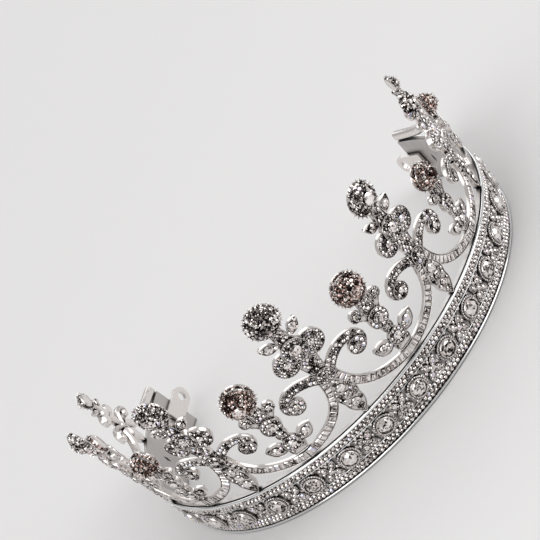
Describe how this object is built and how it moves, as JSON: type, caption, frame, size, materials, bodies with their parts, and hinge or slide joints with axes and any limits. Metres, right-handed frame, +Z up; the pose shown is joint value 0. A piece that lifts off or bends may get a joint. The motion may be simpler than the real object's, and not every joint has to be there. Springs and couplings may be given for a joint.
{
  "type": "bridal tiara",
  "caption": "Open-backed bridal tiara: a stone-set band that carries graduated scroll motifs with round crystal crests, and shorter champagne-crested motifs between them.",
  "frame": {"origin": "on the surface that the band rests on, under the middle of the whole piece's box", "axes": "+Z up from the band's lower edge, -Y out through the centre motif at the front, +X across to the wearer's left"},
  "size_m": [0.153, 0.127, 0.0697],
  "materials": {
    "silver": "rhodium-bright cast silver, grain-set all over",
    "bright_wire": "polished drawn wire",
    "crystal": "clear cut crystal",
    "champagne_crystal": "champagne to pink-brown cut crystal"
  },
  "bodies": {
    "root": {"band_frame": "silver", "upper_rail": "bright_wire", "lower_rail": "bright_wire", "upper_row_stones": "crystal", "lower_row_stones": "crystal", "band_collets": "silver", "band_stones": "crystal", "band_leaves": "silver", "end_loop_left": "silver", "end_loop_right": "silver", "tall_frame_l3": "silver", "tall_frame_l2": "silver", "tall_frame_l1": "silver", "tall_frame_c": "silver", "tall_frame_r1": "silver", "tall_frame_r2": "silver", "tall_frame_r3": "silver", "tall_crest_l3": "crystal", "tall_crest_l2": "crystal", "tall_crest_l1": "crystal", "tall_crest_c": "crystal", "tall_crest_r1": "crystal", "tall_crest_r2": "crystal", "tall_crest_r3": "crystal", "tall_stones_l3": "crystal", "tall_stones_l2": "crystal", "tall_stones_l1": "crystal", "tall_stones_c": "crystal", "tall_stones_r1": "crystal", "tall_stones_r2": "crystal", "tall_stones_r3": "crystal", "short_frame_l3": "silver", "short_frame_l2": "silver", "short_frame_l1": "silver", "short_frame_r1": "silver", "short_frame_r2": "silver", "short_frame_r3": "silver", "short_crest_l3": "champagne_crystal", "short_crest_l2": "champagne_crystal", "short_crest_l1": "champagne_crystal", "short_crest_r1": "champagne_crystal", "short_crest_r2": "champagne_crystal", "short_crest_r3": "champagne_crystal", "short_stones_l3": "crystal", "short_stones_l2": "crystal", "short_stones_l1": "crystal", "short_stones_r1": "crystal", "short_stones_r2": "crystal", "short_stones_r3": "crystal"}
  },
  "joints": []
}
